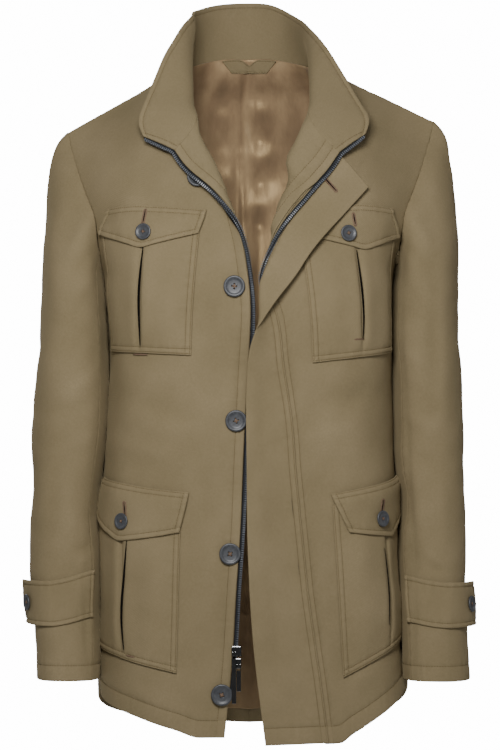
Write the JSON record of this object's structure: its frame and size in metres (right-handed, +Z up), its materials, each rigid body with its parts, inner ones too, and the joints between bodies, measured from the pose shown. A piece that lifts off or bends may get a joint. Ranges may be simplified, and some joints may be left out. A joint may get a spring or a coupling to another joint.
{
  "type": "field jacket, filled out as worn, with no wearer",
  "caption": "Hip-length field jacket in khaki twill, open at the front, with a rolled stand collar, patch pockets with flaps, storm fly, cuff tabs and a satin back lining.",
  "frame": {"origin": "middle of the neck, on the centre plane and level with the back neck seam", "axes": "+Z up along the body, -Y towards the front, +X towards the wearer's left"},
  "size_m": [0.5324, 0.2652, 0.8764],
  "materials": {
    "shell": "brushed cotton twill, khaki tan, matt with a soft nap",
    "lining": "satin, pinkish brown, with a soft sheen",
    "button": "grey resin with a raised rim",
    "zip": "dark tape with moulded teeth",
    "slider": "black enamelled metal"
  },
  "bodies": {
    "jacket": {"front_right": "shell", "front_left": "shell", "facing_right": "shell", "facing_left": "shell", "back_right": "shell", "back_left": "shell", "collar": "shell", "back_lining": "lining", "hanger_loop": "shell", "top_sleeve_right": "shell", "top_sleeve_left": "shell", "under_sleeve_right": "shell", "under_sleeve_left": "shell", "cuff_tab_right": "shell", "cuff_tab_left": "shell", "fly_placket": "shell", "zip_tape_right": "zip", "zip_tape_left": "zip", "chest_pocket_right": "shell", "chest_pocket_left": "shell", "chest_flap_right": "shell", "chest_flap_left": "shell", "hip_pocket_right": "shell", "hip_pocket_left": "shell", "hip_flap_right": "shell", "hip_flap_left": "shell", "front_button_1": "button", "front_button_2": "button", "front_button_3": "button", "front_button_4": "button", "front_button_5": "button", "chest_button_right": "button", "chest_button_left": "button", "hip_button_right": "button", "hip_button_left": "button", "cuff_button_right": "button", "cuff_button_left": "button", "slider_upper": "slider", "slider_lower": "slider"},
    "upper_pull": {"pull_upper": "slider"},
    "lower_pull": {"pull_lower": "slider"}
  },
  "joints": [
    {"name": "upper_pull_hinge", "type": "hinge", "parent": "jacket", "child": "upper_pull", "pos_m": [-0.0173, -0.12905, -0.6984], "axis": [-1, 0, 0], "range_deg": [0, 150]},
    {"name": "lower_pull_hinge", "type": "hinge", "parent": "jacket", "child": "lower_pull", "pos_m": [-0.0119, -0.12905, -0.7124], "axis": [-1, 0, 0], "range_deg": [0, 150]}
  ]
}
